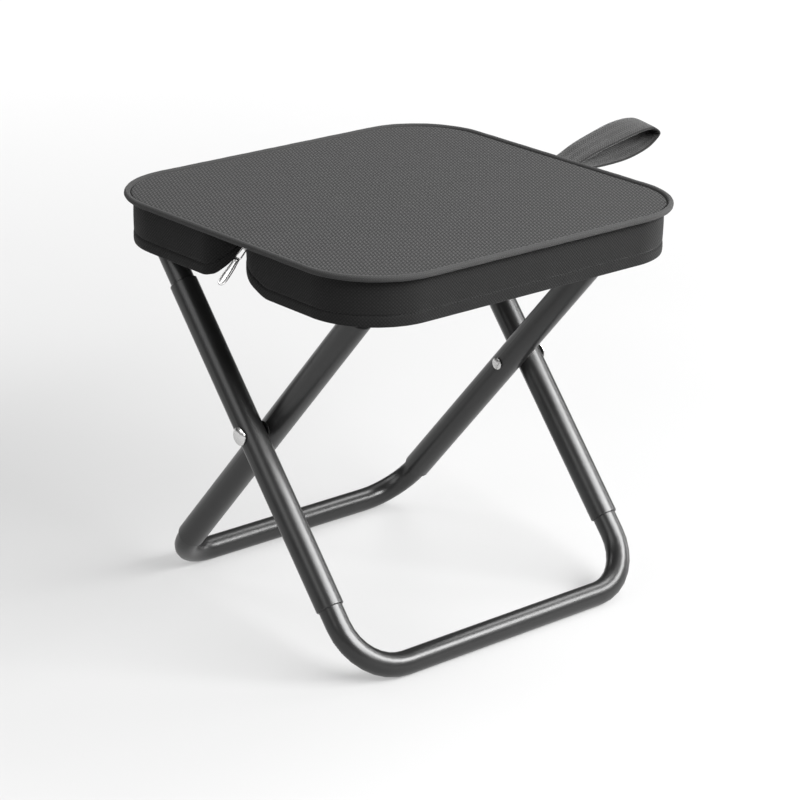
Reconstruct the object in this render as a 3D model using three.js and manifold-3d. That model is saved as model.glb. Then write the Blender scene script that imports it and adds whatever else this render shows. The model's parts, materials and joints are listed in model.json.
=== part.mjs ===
// Folding camp stool: two crossed tube frames under a flat padded seat that folds in half.
// Units are millimetres, +Z up. The fold line of the seat and the pivot axis run along X.
// The origin is on the floor, under the middle of the whole stool with its strap.
import * as THREE from 'three';
import { mergeVertices } from 'three/addons/utils/BufferGeometryUtils.js';
import Module from 'manifold-3d';

const wasm = await Module();
wasm.setup();

// ---------------------------------------------------------------- driving dimensions
const GAP = 0.3; // clearance between pieces that touch

// frames
const LEG_ANGLE = THREE.MathUtils.degToRad(40.5); // from vertical, both frames
const FOOT_REACH = 204; // pivot to the centre of a floor rail, along the leg
const TOP_REACH = 190.3; // pivot to the centre of a seat rail, along the leg
const WIDE_RADIUS = 11;
const WIDE_WALL = 1.2;
const NARROW_RADIUS = 9.5;
const NARROW_WALL = 1.1;
const PIVOT_Z = NARROW_RADIUS + FOOT_REACH * Math.cos(LEG_ANGLE);
const PLUG_DEPTH = 45; // how far a narrow arm reaches into a wide tube
const SIDES = 24;
const BEND_STEPS = 8;
const OUTER = { halfWidth: 143.8, footJoint: -146.5, topJoint: 129.5, footBend: 43, topBend: 30 };
const INNER = { halfWidth: 120.8, footJoint: -165, topJoint: 150, footBend: 38, topBend: 30 };

// pivots
const SHANK_RADIUS = 2.5;
const PIVOT_HOLE_RADIUS = 2.9;
const RIVET_HEAD = { radius: 7.2, height: 2.6 };
const RIVET_CAP = { radius: 5, height: 1.8 };
const WASHER = { radius: 7, thickness: 0.6 };

// seat
const SEAT = { halfWidth: 173.8, halfDepth: 162.2, corner: 65 }; // outside of the piping
const PIPING_RADIUS = 2.4;
const PIPING_Z = 325.4;
const COVER = { bottom: 325, thickness: 1.2, inset: 5.1 };
const BOARD = { bottom: 321.7, thickness: 3, inset: 9.1 };
const LINING = { bottom: 320.7, thickness: 0.7, inset: 9.1 };
const SPINE_HALF = 5; // the boards stop this far from the fold line
const BOARD_FOLD_CORNER = 40; // plan radius of the boards where fold line and side meet
const SLEEVE_WALL = 0.8;
const SLEEVE_HALF = { rear: 104, front: 82 };
const CORNER_SEGMENTS = 10;

// skirt, with its round lobes on both sides of the fold line
const SKIRT = { inset: 7.2, wall: 1.4, bottom: 288.4, top: 324.7, lobeRadius: 24, lobeEnd: 7 };
const ARCH = { start: 38, end: 5, top: 313.5 }; // the raised edge between the lobes
const TAPE = { width: 6, thickness: 1.2, bottom: 286.9 };
const BINDING = { half: 2.6, thickness: 1, bottom: 318.8, from: -138, to: 160 };

// zipper slider and pull, at the front end of the fold line
const SLIDER = { x: -146, z: 313.4, width: 6.4, height: 9, depth: 3.2 };
const BRIDGE = { reach: 4.6, wire: 0.7, half: 3.3, root: 0.5 };
const PULL = { length: 35, width: 8.6, neck: 5, thickness: 1.4, bar: 1.2, slot: 3.6 };
const PULL_ANGLE = THREE.MathUtils.degToRad(44); // from hanging straight down
const PULL_AXIS_X = SLIDER.x - SLIDER.depth / 2 - 1.7;

// carrying strap, a loop of webbing at the other end of the fold line
const STRAP = { width: 28, thickness: 1.6, start: 174.4, reach: 103.3, seam: 10 };
const STRAP_STEPS = 40;
const STRAP_TOP = [[0, -3.2], [31, 6.4], [63, 14.4], [84, 16.2]];
const STRAP_TIP = [[96, 14], [103.4, 7.8], [98, 1.6]];
const STRAP_BOTTOM = [[80, -4.4], [56, -8.4], [30, -9.8], [0, -6.4]];

// ---------------------------------------------------------------- materials
const material = (name, color, roughness, metalness) =>
  new THREE.MeshStandardMaterial({ name, color, roughness, metalness });
const POWDER_COAT = () => material('powder_coat', 0x2c2c2d, 0.38, 0.35);
const BRIGHT_STEEL = () => material('bright_steel', 0xd8d8d8, 0.18, 1);
const COVER_FABRIC = () => material('cover_fabric', 0x4a4a4a, 0.95, 0);
const PIPING_FABRIC = () => material('piping', 0x444444, 0.9, 0);
const WEBBING = () => material('webbing', 0x606060, 0.9, 0);
const BOARD_PLASTIC = () => material('board', 0x262626, 0.7, 0);
const NYLON = () => material('nylon', 0x161616, 0.5, 0);

// ---------------------------------------------------------------- geometry helpers
function toSolid(geometry) {
  const bare = geometry.clone();
  bare.deleteAttribute('normal');
  bare.deleteAttribute('uv');
  const merged = mergeVertices(bare, 1e-4);
  const vertProperties = new Float32Array(merged.attributes.position.array);
  const triVerts = new Uint32Array(merged.index.array);
  return new wasm.Manifold(new wasm.Mesh({ numProp: 3, vertProperties, triVerts }));
}

function fromSolid(solid) {
  const mesh = solid.getMesh();
  const geometry = new THREE.BufferGeometry();
  geometry.setAttribute('position', new THREE.BufferAttribute(mesh.vertProperties, 3));
  geometry.setIndex(new THREE.BufferAttribute(mesh.triVerts, 1));
  geometry.computeVertexNormals();
  return geometry;
}

const subtract = (body, tool) => fromSolid(toSolid(body).subtract(toSolid(tool)));
const unite = (a, b) => fromSolid(toSolid(a).add(toSolid(b)));

function arcPoints(cx, cy, radius, from, to, steps = CORNER_SEGMENTS) {
  const points = [];
  for (let i = 0; i <= steps; i++) {
    const angle = THREE.MathUtils.degToRad(from + ((to - from) * i) / steps);
    points.push(new THREE.Vector2(cx + radius * Math.cos(angle), cy + radius * Math.sin(angle)));
  }
  return points;
}

function circle(radius, sides = SIDES, turn = 0) {
  const points = [];
  for (let i = 0; i < sides; i++) {
    const angle = turn + (2 * Math.PI * i) / sides;
    points.push(new THREE.Vector2(radius * Math.cos(angle), radius * Math.sin(angle)));
  }
  return points;
}

// A path that visits its stations at equal parameter steps, so straight stretches cost one step.
class StationPath extends THREE.Curve {
  constructor(stations) {
    super();
    this.stations = stations;
  }

  station(u) {
    return this.stations[Math.round(u * (this.stations.length - 1))];
  }

  getPointAt(u, target = new THREE.Vector3()) {
    return target.copy(this.station(u).point);
  }

  getTangentAt(u, target = new THREE.Vector3()) {
    return target.copy(this.station(u).tangent);
  }
}

function sweep(section, stations) {
  return new THREE.ExtrudeGeometry(section, {
    extrudePath: new StationPath(stations),
    steps: stations.length - 1,
  });
}

function slab(points, bottom, thickness) {
  const geometry = new THREE.ExtrudeGeometry(new THREE.Shape(points), {
    depth: thickness,
    bevelEnabled: false,
  });
  return geometry.translate(0, 0, bottom);
}

// A profile of [radius, height] pairs turned about Z.
function turned(profile, sides = SIDES) {
  const points = profile.map(([radius, height]) => new THREE.Vector2(radius, height));
  return new THREE.LatheGeometry(points, sides).rotateX(Math.PI / 2);
}

function part(name, geometry, look) {
  const mesh = new THREE.Mesh(geometry, look());
  mesh.name = name;
  return mesh;
}

// ---------------------------------------------------------------- tube frames
// Frames are drawn upright about the pivot axis: X along the pivot, Z along the legs.
function bentRail(halfWidth, railZ, armZ, bend) {
  const away = Math.sign(railZ - armZ);
  const centreZ = railZ - away * bend;
  const stations = [];
  const add = (x, z, tx, tz) => {
    stations.push({ point: new THREE.Vector3(x, 0, z), tangent: new THREE.Vector3(tx, 0, tz) });
  };
  add(-halfWidth, armZ, 0, away);
  for (let i = 0; i <= BEND_STEPS; i++) {
    const angle = (Math.PI / 2) * (i / BEND_STEPS);
    const x = -halfWidth + bend * (1 - Math.cos(angle));
    add(x, centreZ + away * bend * Math.sin(angle), Math.sin(angle), away * Math.cos(angle));
  }
  for (let i = BEND_STEPS; i >= 0; i--) {
    const angle = (Math.PI / 2) * (i / BEND_STEPS);
    const x = halfWidth - bend * (1 - Math.cos(angle));
    add(x, centreZ + away * bend * Math.sin(angle), Math.sin(angle), -away * Math.cos(angle));
  }
  add(halfWidth, armZ, 0, -away);
  const section = new THREE.Shape(circle(NARROW_RADIUS, SIDES, LEG_ANGLE));
  section.holes.push(new THREE.Path(circle(NARROW_RADIUS - NARROW_WALL, SIDES, LEG_ANGLE)));
  return sweep(section, stations);
}

// A straight tube with softened ends and a hole across it for the pivot.
function wideTube(x, bottom, top) {
  const bore = WIDE_RADIUS - WIDE_WALL;
  const soft = 0.6;
  const tube = turned([
    [bore, bottom],
    [WIDE_RADIUS - soft, bottom],
    [WIDE_RADIUS, bottom + soft],
    [WIDE_RADIUS, top - soft],
    [WIDE_RADIUS - soft, top],
    [bore, top],
    [bore, bottom],
  ]);
  const drill = new THREE.CylinderGeometry(PIVOT_HOLE_RADIUS, PIVOT_HOLE_RADIUS, 40, 16);
  return subtract(tube, drill.rotateZ(Math.PI / 2)).translate(x, 0, 0);
}

// Rivet, washer and clenched cap of one pivot, drawn for the left side and turned for the right.
function pivotParts(side, label) {
  const outerFace = OUTER.halfWidth + WIDE_RADIUS + GAP;
  const innerFace = INNER.halfWidth - WIDE_RADIUS - GAP;
  const head = RIVET_HEAD;
  const rivet = turned([
    [0, innerFace + 0.1],
    [SHANK_RADIUS, innerFace + 0.1],
    [SHANK_RADIUS, outerFace],
    [head.radius, outerFace],
    [head.radius, outerFace + head.height * 0.25],
    [head.radius * 0.8, outerFace + head.height * 0.66],
    [head.radius * 0.45, outerFace + head.height * 0.93],
    [0, outerFace + head.height],
  ]);
  const cap = turned([
    [0, innerFace - RIVET_CAP.height],
    [RIVET_CAP.radius * 0.6, innerFace - RIVET_CAP.height * 0.8],
    [RIVET_CAP.radius, innerFace - RIVET_CAP.height * 0.3],
    [RIVET_CAP.radius, innerFace - GAP],
    [0, innerFace - GAP],
  ]);
  const middle = (OUTER.halfWidth + INNER.halfWidth) / 2;
  const washer = turned([
    [PIVOT_HOLE_RADIUS, middle - WASHER.thickness / 2],
    [WASHER.radius, middle - WASHER.thickness / 2],
    [WASHER.radius, middle + WASHER.thickness / 2],
    [PIVOT_HOLE_RADIUS, middle + WASHER.thickness / 2],
    [PIVOT_HOLE_RADIUS, middle - WASHER.thickness / 2],
  ]);
  return [
    part(`pivot_rivet_${label}`, rivet.rotateY((side * Math.PI) / 2), BRIGHT_STEEL),
    part(`rivet_cap_${label}`, cap.rotateY((side * Math.PI) / 2), BRIGHT_STEEL),
    part(`pivot_washer_${label}`, washer.rotateY((side * Math.PI) / 2), NYLON),
  ];
}

function frame(name, size) {
  const group = new THREE.Group();
  const footArm = size.footJoint + PLUG_DEPTH;
  const topArm = size.topJoint - PLUG_DEPTH;
  const foot = bentRail(size.halfWidth, -FOOT_REACH, footArm, size.footBend);
  const top = bentRail(size.halfWidth, TOP_REACH, topArm, size.topBend);
  group.add(part(`${name}_foot_rail`, foot, POWDER_COAT));
  group.add(part(`${name}_top_rail`, top, POWDER_COAT));
  for (const [side, label] of [[-1, 'left'], [1, 'right']]) {
    const leg = wideTube(side * size.halfWidth, size.footJoint, size.topJoint);
    group.add(part(`${name}_leg_${label}`, leg, POWDER_COAT));
  }
  return group;
}

// ---------------------------------------------------------------- seat
// The rear half of the seat's outline, moved in by inset, from its right end round to its left.
function halfOutline(inset, foldEdge) {
  const halfWidth = SEAT.halfWidth - inset;
  const halfDepth = SEAT.halfDepth - inset;
  const radius = SEAT.corner - inset;
  return [
    new THREE.Vector2(halfWidth, foldEdge),
    ...arcPoints(halfWidth - radius, halfDepth - radius, radius, 0, 90),
    ...arcPoints(-halfWidth + radius, halfDepth - radius, radius, 90, 180),
    new THREE.Vector2(-halfWidth, foldEdge),
  ];
}

// A board keeps clear of the fold line, and its corners there are rounded off.
function boardOutline(inset) {
  const halfWidth = SEAT.halfWidth - inset;
  const halfDepth = SEAT.halfDepth - inset;
  const radius = SEAT.corner - inset;
  const corner = BOARD_FOLD_CORNER;
  return [
    ...arcPoints(halfWidth - corner, SPINE_HALF + corner, corner, -90, 0),
    ...arcPoints(halfWidth - radius, halfDepth - radius, radius, 0, 90),
    ...arcPoints(-halfWidth + radius, halfDepth - radius, radius, 90, 180),
    ...arcPoints(-halfWidth + corner, SPINE_HALF + corner, corner, 180, 270),
  ];
}

// The skirt wall's line at a depth inside its face, with both lobes turned in at the fold.
function wallLine(depth) {
  const halfWidth = SEAT.halfWidth - SKIRT.inset;
  const halfDepth = SEAT.halfDepth - SKIRT.inset;
  const radius = SEAT.corner - SKIRT.inset;
  const lobe = SKIRT.lobeRadius;
  const lobeY = SKIRT.lobeEnd + lobe;
  return [
    ...arcPoints(halfWidth - lobe, lobeY, lobe - depth, -90, 0),
    ...arcPoints(halfWidth - radius, halfDepth - radius, radius - depth, 0, 90),
    ...arcPoints(-halfWidth + radius, halfDepth - radius, radius - depth, 90, 180),
    ...arcPoints(-halfWidth + lobe, lobeY, lobe - depth, 180, 270),
  ];
}

// The prism under the raised edge, along X through both ends of the fold line.
function archCutter() {
  const shape = new THREE.Shape();
  shape.moveTo(-5, SKIRT.bottom - 10);
  shape.lineTo(ARCH.start, SKIRT.bottom - 10);
  shape.lineTo(ARCH.start, SKIRT.bottom - 0.01);
  shape.quadraticCurveTo(ARCH.start * 0.47, SKIRT.bottom + 3, ARCH.end, ARCH.top);
  shape.lineTo(-5, ARCH.top);
  const options = { depth: 2 * SEAT.halfWidth, bevelEnabled: false, curveSegments: 8 };
  const prism = new THREE.ExtrudeGeometry(shape, options);
  const turn = new THREE.Matrix4().makeBasis(
    new THREE.Vector3(0, 1, 0),
    new THREE.Vector3(0, 0, 1),
    new THREE.Vector3(1, 0, 0),
  );
  return prism.applyMatrix4(turn).translate(-SEAT.halfWidth, 0, 0);
}

function pipingHalf() {
  const halfWidth = SEAT.halfWidth - PIPING_RADIUS;
  const halfDepth = SEAT.halfDepth - PIPING_RADIUS;
  const radius = SEAT.corner - PIPING_RADIUS;
  const stations = [];
  const add = (x, y, tx, ty) => {
    stations.push({
      point: new THREE.Vector3(x, y, PIPING_Z),
      tangent: new THREE.Vector3(tx, ty, 0),
    });
  };
  add(halfWidth, GAP / 2, 0, 1);
  for (const [sign, from] of [[1, 0], [-1, 90]]) {
    for (let i = 0; i <= CORNER_SEGMENTS; i++) {
      const angle = THREE.MathUtils.degToRad(from + (90 * i) / CORNER_SEGMENTS);
      const x = sign * (halfWidth - radius) + radius * Math.cos(angle);
      add(x, halfDepth - radius + radius * Math.sin(angle), -Math.sin(angle), Math.cos(angle));
    }
  }
  add(-halfWidth, GAP / 2, 0, -1);
  return sweep(new THREE.Shape(circle(PIPING_RADIUS, 8, Math.PI / 8)), stations);
}

function skirtHalf() {
  const outline = [...wallLine(0), ...wallLine(SKIRT.wall).reverse()];
  const wall = slab(outline, SKIRT.bottom, SKIRT.top - SKIRT.bottom);
  return subtract(wall, archCutter());
}

function tapeHalf() {
  const face = halfOutline(SKIRT.inset, ARCH.start);
  const inner = halfOutline(SKIRT.inset + TAPE.width, ARCH.start).reverse();
  return slab([...face, ...inner], TAPE.bottom, TAPE.thickness);
}

function sleeve(halfLength, side) {
  const inner = NARROW_RADIUS + GAP;
  const outer = inner + SLEEVE_WALL;
  const tube = turned([
    [inner, -halfLength],
    [outer, -halfLength],
    [outer, halfLength],
    [inner, halfLength],
    [inner, -halfLength],
  ]);
  const y = side * TOP_REACH * Math.sin(LEG_ANGLE);
  const z = PIVOT_Z + TOP_REACH * Math.cos(LEG_ANGLE);
  return tube.rotateY(Math.PI / 2).translate(0, y, z);
}

// One half of the seat; the front half is the rear one turned half a turn about Z.
function seatHalf(label, turn) {
  const pieces = [
    [`seat_cover_${label}`, slab(halfOutline(COVER.inset, GAP / 2), COVER.bottom, COVER.thickness),
      COVER_FABRIC],
    [`stiffener_board_${label}`, slab(boardOutline(BOARD.inset), BOARD.bottom, BOARD.thickness),
      BOARD_PLASTIC],
    [`lining_${label}`, slab(boardOutline(LINING.inset), LINING.bottom, LINING.thickness),
      COVER_FABRIC],
    [`piping_${label}`, pipingHalf(), PIPING_FABRIC],
    [`skirt_${label}`, skirtHalf(), COVER_FABRIC],
    [`zipper_tape_${label}`, tapeHalf(), NYLON],
  ];
  return pieces.map(([name, geometry, look]) => part(name, geometry.rotateZ(turn), look));
}

function foldBinding() {
  const length = BINDING.to - BINDING.from;
  const strip = new THREE.BoxGeometry(length, 2 * BINDING.half, BINDING.thickness);
  const z = BINDING.bottom + BINDING.thickness / 2;
  return strip.translate((BINDING.from + BINDING.to) / 2, 0, z);
}

// ---------------------------------------------------------------- zipper slider and pull
// The slider is a shield-shaped plate on edge, with a wire bridge on its outer face.
function zipperSlider() {
  const half = SLIDER.width / 2;
  const shape = new THREE.Shape([
    new THREE.Vector2(-half, SLIDER.height * 0.42),
    new THREE.Vector2(-half * 0.5, SLIDER.height * 0.5),
    new THREE.Vector2(half * 0.5, SLIDER.height * 0.5),
    new THREE.Vector2(half, SLIDER.height * 0.42),
    new THREE.Vector2(half, SLIDER.height * 0.05),
    new THREE.Vector2(half * 0.45, -SLIDER.height * 0.42),
    new THREE.Vector2(half * 0.25, -SLIDER.height * 0.5),
    new THREE.Vector2(-half * 0.25, -SLIDER.height * 0.5),
    new THREE.Vector2(-half * 0.45, -SLIDER.height * 0.42),
    new THREE.Vector2(-half, SLIDER.height * 0.05),
  ]);
  const plate = new THREE.ExtrudeGeometry(shape, { depth: SLIDER.depth, bevelEnabled: false });
  const arch = [];
  for (let i = 0; i <= 8; i++) {
    const angle = Math.PI * (i / 8);
    const rise = BRIDGE.half * Math.cos(angle);
    const out = SLIDER.depth - BRIDGE.root + BRIDGE.reach * Math.sin(angle);
    const slope = new THREE.Vector3(
      0,
      -BRIDGE.half * Math.sin(angle),
      BRIDGE.reach * Math.cos(angle),
    );
    arch.push({ point: new THREE.Vector3(0, rise, out), tangent: slope.normalize() });
  }
  const bridge = sweep(new THREE.Shape(circle(BRIDGE.wire, 8)), arch);
  const outward = new THREE.Matrix4().makeBasis(
    new THREE.Vector3(0, -1, 0),
    new THREE.Vector3(0, 0, 1),
    new THREE.Vector3(-1, 0, 0),
  );
  const slider = unite(plate, bridge).applyMatrix4(outward);
  return slider.translate(SLIDER.x + SLIDER.depth / 2, 0, SLIDER.z);
}

// A long flat tab with a round tip. Its cross bar turns under the bridge, which passes its slot.
function zipperPull() {
  const half = PULL.width / 2;
  const neck = PULL.neck / 2;
  const slotTop = -PULL.bar / 2;
  const slotEnd = slotTop - PULL.slot;
  const shape = new THREE.Shape([
    new THREE.Vector2(neck, PULL.bar / 2),
    new THREE.Vector2(-neck, PULL.bar / 2),
    new THREE.Vector2(-neck, slotEnd - 1),
    new THREE.Vector2(-half, slotEnd - 5),
    ...arcPoints(0, -PULL.length + half, half, 180, 360),
    new THREE.Vector2(half, slotEnd - 5),
    new THREE.Vector2(neck, slotEnd - 1),
  ]);
  shape.holes.push(new THREE.Path([
    new THREE.Vector2(1 - neck, slotEnd),
    new THREE.Vector2(1 - neck, slotTop),
    new THREE.Vector2(neck - 1, slotTop),
    new THREE.Vector2(neck - 1, slotEnd),
  ]));
  const tab = new THREE.ExtrudeGeometry(shape, { depth: PULL.thickness, bevelEnabled: false });
  tab.translate(0, 0, -PULL.thickness / 2).rotateX(Math.PI / 2).rotateZ(Math.PI / 2);
  return tab.rotateY(PULL_ANGLE).translate(PULL_AXIS_X, 0, SLIDER.z);
}

// ---------------------------------------------------------------- strap
function carryStrap() {
  const line = new THREE.CatmullRomCurve3(
    [...STRAP_TOP, ...STRAP_TIP, ...STRAP_BOTTOM].map(([x, z]) => new THREE.Vector3(x, 0, z)),
  );
  const rim = [];
  const bore = [];
  for (let i = 0; i <= STRAP_STEPS; i++) {
    const { x, z } = line.getPoint(i / STRAP_STEPS);
    const along = line.getTangent(i / STRAP_STEPS);
    rim.push(new THREE.Vector2(x, z));
    if (x > STRAP.seam) {
      bore.push(new THREE.Vector2(x + along.z * STRAP.thickness, z - along.x * STRAP.thickness));
    }
  }
  const shape = new THREE.Shape(rim);
  shape.holes.push(new THREE.Path(bore.reverse()));
  const band = new THREE.ExtrudeGeometry(shape, { depth: STRAP.width, bevelEnabled: false });
  return band.rotateX(Math.PI / 2).translate(STRAP.start, STRAP.width / 2, PIPING_Z);
}

// ---------------------------------------------------------------- assembly
const group = new THREE.Group();
group.position.x = (SEAT.halfWidth - STRAP.start - STRAP.reach) / 2;

const outerFrame = frame('outer', OUTER);
outerFrame.position.z = PIVOT_Z;
outerFrame.rotation.x = -LEG_ANGLE;
for (const [side, label] of [[-1, 'left'], [1, 'right']]) outerFrame.add(...pivotParts(side, label));

const innerFrame = frame('inner', INNER);
innerFrame.position.z = PIVOT_Z;
innerFrame.rotation.x = LEG_ANGLE;

group.add(outerFrame, innerFrame);
group.add(...seatHalf('rear', 0), ...seatHalf('front', Math.PI));
group.add(part('rail_sleeve_rear', sleeve(SLEEVE_HALF.rear, 1), COVER_FABRIC));
group.add(part('rail_sleeve_front', sleeve(SLEEVE_HALF.front, -1), COVER_FABRIC));
group.add(part('fold_binding', foldBinding(), WEBBING));
group.add(part('zipper_slider', zipperSlider(), BRIGHT_STEEL));
group.add(part('zipper_pull', zipperPull(), BRIGHT_STEEL));
group.add(part('carry_strap', carryStrap(), WEBBING));

export default group;
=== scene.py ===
"""Looks of a folding camp stool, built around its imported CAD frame.

Lengths are metres in the frame's own axes: X along the fold line of the seat, Z up.
The rear half of the seat is built first, and the front half is the same turned half a turn.
"""

import json
import math

import bpy
import numpy as np
from mathutils import Matrix, Vector


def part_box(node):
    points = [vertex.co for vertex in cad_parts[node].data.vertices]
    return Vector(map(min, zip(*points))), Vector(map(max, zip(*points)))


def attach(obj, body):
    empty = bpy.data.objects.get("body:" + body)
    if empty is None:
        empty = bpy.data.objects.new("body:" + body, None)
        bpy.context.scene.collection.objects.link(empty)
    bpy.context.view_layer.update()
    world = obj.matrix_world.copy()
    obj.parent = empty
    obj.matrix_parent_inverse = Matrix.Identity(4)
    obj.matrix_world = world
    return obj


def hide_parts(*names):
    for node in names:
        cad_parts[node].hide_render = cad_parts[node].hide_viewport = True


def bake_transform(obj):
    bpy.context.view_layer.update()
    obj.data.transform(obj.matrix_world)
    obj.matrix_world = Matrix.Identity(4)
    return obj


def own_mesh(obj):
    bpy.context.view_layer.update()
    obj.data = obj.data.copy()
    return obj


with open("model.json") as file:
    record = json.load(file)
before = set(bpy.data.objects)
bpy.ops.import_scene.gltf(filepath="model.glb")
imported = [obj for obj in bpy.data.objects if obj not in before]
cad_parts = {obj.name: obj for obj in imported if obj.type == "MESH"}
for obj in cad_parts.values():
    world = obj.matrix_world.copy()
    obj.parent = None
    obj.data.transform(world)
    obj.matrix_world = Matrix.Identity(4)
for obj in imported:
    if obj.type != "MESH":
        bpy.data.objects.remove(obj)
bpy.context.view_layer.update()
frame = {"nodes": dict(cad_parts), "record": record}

MM = 0.001

# ------------------------------------------------------------------ sizes, from the frame
piping_low, piping_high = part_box("piping_rear")
skirt_low, skirt_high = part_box("skirt_rear")
lining_low, lining_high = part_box("lining_rear")
binding_low, binding_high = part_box("fold_binding")
strap_low, strap_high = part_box("carry_strap")

CENTRE_X = (piping_low.x + piping_high.x) / 2
PIPING_RADIUS = 2.4 * MM
COVER_INSET = PIPING_RADIUS * 0.9  # from the piping's centre line in to the cover's edge
PIPING_Z = (piping_low.z + piping_high.z) / 2
PIPING_INSET = (piping_high.z - piping_low.z) / 2  # from its outermost line to its centre line
PIPING_HALF_WIDTH = (piping_high.x - piping_low.x) / 2 - PIPING_INSET
PIPING_HALF_DEPTH = piping_high.y - PIPING_INSET
SEAT_CORNER = 62.6 * MM  # plan radius of the piping's centre line
COVER_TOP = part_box("seat_cover_rear")[1].z
SKIRT_HALF_WIDTH = (skirt_high.x - skirt_low.x) / 2
SKIRT_HALF_DEPTH = skirt_high.y
SKIRT_CORNER = 57.8 * MM
SKIRT_BOTTOM = skirt_low.z
SKIRT_TOP = skirt_high.z
EDGE_STEP = 3 * MM  # spacing of the points round the piping, the skirt and the zipper tape
LOBE_RADIUS = 24 * MM  # plan radius of the round turn at each end of the skirt
LOBE_END = skirt_low.y
LINING_HALF_WIDTH = (lining_high.x - lining_low.x) / 2
LINING_HALF_DEPTH = lining_high.y
LINING_CORNER = SEAT_CORNER - 7 * MM
FOLD_CORNER = 40 * MM  # plan radius of the lining's corners beside the fold line

LOBE_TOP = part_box("zipper_slider")[0].z + 4.5 * MM  # the skirt's edge beside the slider
LOBE_RISE = LOBE_TOP - SKIRT_BOTTOM
EARLY_RISE = {"rear": 0, "front": 8 * MM}  # how much of the rise comes before the wall turns inward
HEM_DROP = 0.9 * MM  # how far the cloth is rolled below the skirt's edge
SEAM_ROW = 9  # the row of the skirt's profile at the bottom of its seam's groove

STRAP_ROOT = strap_low.x
STRAP_THICKNESS = 1.5 * MM
# the strap's two edges as loops of (distance from its root, height from the piping), in mm
STRAP_NEAR = [(0, -3.2), (8.5, 0), (28, 5.6), (52, 10.3), (67, 13), (80, 14.8), (91, 14.4), (98.3, 9.6),
              (96.5, 4.8), (84, -2.6), (64, -7.6), (44, -9.2), (22, -9), (0, -6.4)]
STRAP_FAR = [(0, -3.2), (8.5, -0.6), (26, 6.3), (52, 13.4), (68, 16.7), (84, 17.6), (97, 15.6), (105, 9.8),
             (102, 4.6), (90, 0), (74, -3), (58, -5.6), (40, -7.4), (20, -8), (0, -6.4)]

# the camera: degrees, then metres from its target and sideways and upward shifts, then its lens in mm
CAMERA_AZIMUTH, CAMERA_ELEVATION, CAMERA_ROLL = -41.451, 20.392, 1.153
CAMERA_DISTANCE, CAMERA_RIGHT, CAMERA_UP = 2.2849, 0.00427, 0.01082
CAMERA_TARGET = Vector((CENTRE_X, 0, 0.1467))
CAMERA_SENSOR, CAMERA_LENS = 36, 130.3

LIGHT_TARGET = Vector((CENTRE_X, 0, 0.2))
UPWARD = Vector((0, 0, 1))
WORLD_GREY, WORLD_STRENGTH = 0.9, 0.1
FLOOR_REACH = 9.0
FLOOR_GREYS = (0.22, 0.24)
GLOW_RANGE = (0.3, 2.4)  # metres from the stool's middle over which the floor's own light grows
GLOW_LEVELS = (0.4, 0.85)
CRISP_CLOTH, CRISP_PULL, CRISP_BEVELLED, CRISP_TUBE = 60, 50, 40, 33  # degrees, for crisp_edges


# ------------------------------------------------------------------ camera, light and floor
def make_camera():
    """The camera looks down at the near left corner of the seat, from far off with a long lens.

    Returns the level directions away from the camera and to its right."""
    azimuth, elevation = math.radians(CAMERA_AZIMUTH), math.radians(CAMERA_ELEVATION)
    roll = math.radians(CAMERA_ROLL)
    back = Vector((
        math.sin(azimuth) * math.cos(elevation),
        -math.cos(azimuth) * math.cos(elevation),
        math.sin(elevation),
    ))
    level_right = (-back).cross(UPWARD).normalized()
    level_up = level_right.cross(-back)
    right = math.cos(roll) * level_right + math.sin(roll) * level_up
    up = math.cos(roll) * level_up - math.sin(roll) * level_right
    place = CAMERA_TARGET + right * CAMERA_RIGHT + up * CAMERA_UP + back * CAMERA_DISTANCE
    lens = bpy.data.cameras.new("camera")
    lens.sensor_width = CAMERA_SENSOR
    lens.lens = CAMERA_LENS
    camera = bpy.data.objects.new("camera", lens)
    bpy.context.scene.collection.objects.link(camera)
    camera.matrix_world = Matrix((
        (right.x, up.x, back.x, place.x),
        (right.y, up.y, back.y, place.y),
        (right.z, up.z, back.z, place.z),
        (0, 0, 0, 1),
    ))
    bpy.context.scene.camera = camera
    bpy.context.scene.view_settings.view_transform = "Standard"
    return Vector((-back.x, -back.y, 0)).normalized(), Vector((right.x, right.y, 0)).normalized()


def make_lights(away, side):
    """Softboxes round the stool, each with its offset from the stool, width, height and watts."""
    for name, offset, width, height, power in (
        ("light_top", away * 0.6 + UPWARD * 2.6, 3.0, 3.0, 30),
        ("light_key", Vector((0.65, -1.6, 1.25)), 2.3, 0.8, 145),
        ("light_high", Vector((1.4, 0.15, 1.75)), 0.8, 0.8, 18),
        ("light_right", side * 2.0 + away * 1.1 + UPWARD * 0.7, 0.35, 2.0, 18),
        ("light_left", Vector((-2.1, 0.1, 1.2)), 2.4, 1.2, 24),
        ("light_rear", Vector((-0.75, 1.6, 1.5)), 1.0, 1.0, 12),
    ):
        softbox(name, LIGHT_TARGET + offset, width, height, power)

    world = bpy.data.worlds.new("studio")
    world.use_nodes = True
    background = world.node_tree.nodes["Background"]
    background.inputs["Color"].default_value = (WORLD_GREY, WORLD_GREY, WORLD_GREY, 1)
    background.inputs["Strength"].default_value = WORLD_STRENGTH
    bpy.context.scene.world = world


def make_floor():
    mesh = bpy.data.meshes.new("floor")
    corners = [(FLOOR_REACH * x, FLOOR_REACH * y, 0) for x, y in ((-1, -1), (1, -1), (1, 1), (-1, 1))]
    mesh.from_pydata(corners, [], [(0, 1, 2, 3)])
    floor = bpy.data.objects.new("floor", mesh)
    bpy.context.scene.collection.objects.link(floor)
    floor.data.materials.append(floor_material())


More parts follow.
